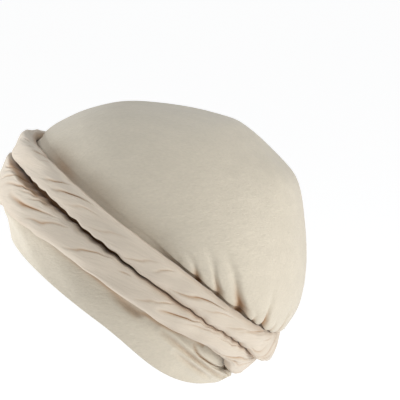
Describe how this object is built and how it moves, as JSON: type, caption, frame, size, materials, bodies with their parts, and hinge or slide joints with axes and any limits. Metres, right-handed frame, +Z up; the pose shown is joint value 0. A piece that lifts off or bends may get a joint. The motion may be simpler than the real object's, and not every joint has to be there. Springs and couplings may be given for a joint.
{
  "type": "stretch turban cap",
  "caption": "Lined knit cap in its worn shape, high at the brow and low at the nape, with two twisted cloth rolls wound round it and a keeper loop behind.",
  "frame": {"origin": "the highest point of the lining, where the top of a head touches it", "axes": "+Z up, -Y towards the brow, +Y towards the back of the head, +X towards the wearer's left"},
  "size_m": [0.1898, 0.2233, 0.1974],
  "materials": {
    "crown": "cream stretch knit, matt",
    "lining": "champagne satin, soft sheen",
    "upper_roll": "cream stretch knit, twisted",
    "lower_roll": "cream stretch knit, twisted",
    "keeper_loop": "cream stretch knit, doubled"
  },
  "bodies": {
    "root": {"crown": "crown", "lining": "lining", "upper_roll": "upper_roll", "lower_roll": "lower_roll", "keeper_loop": "keeper_loop"}
  },
  "joints": []
}
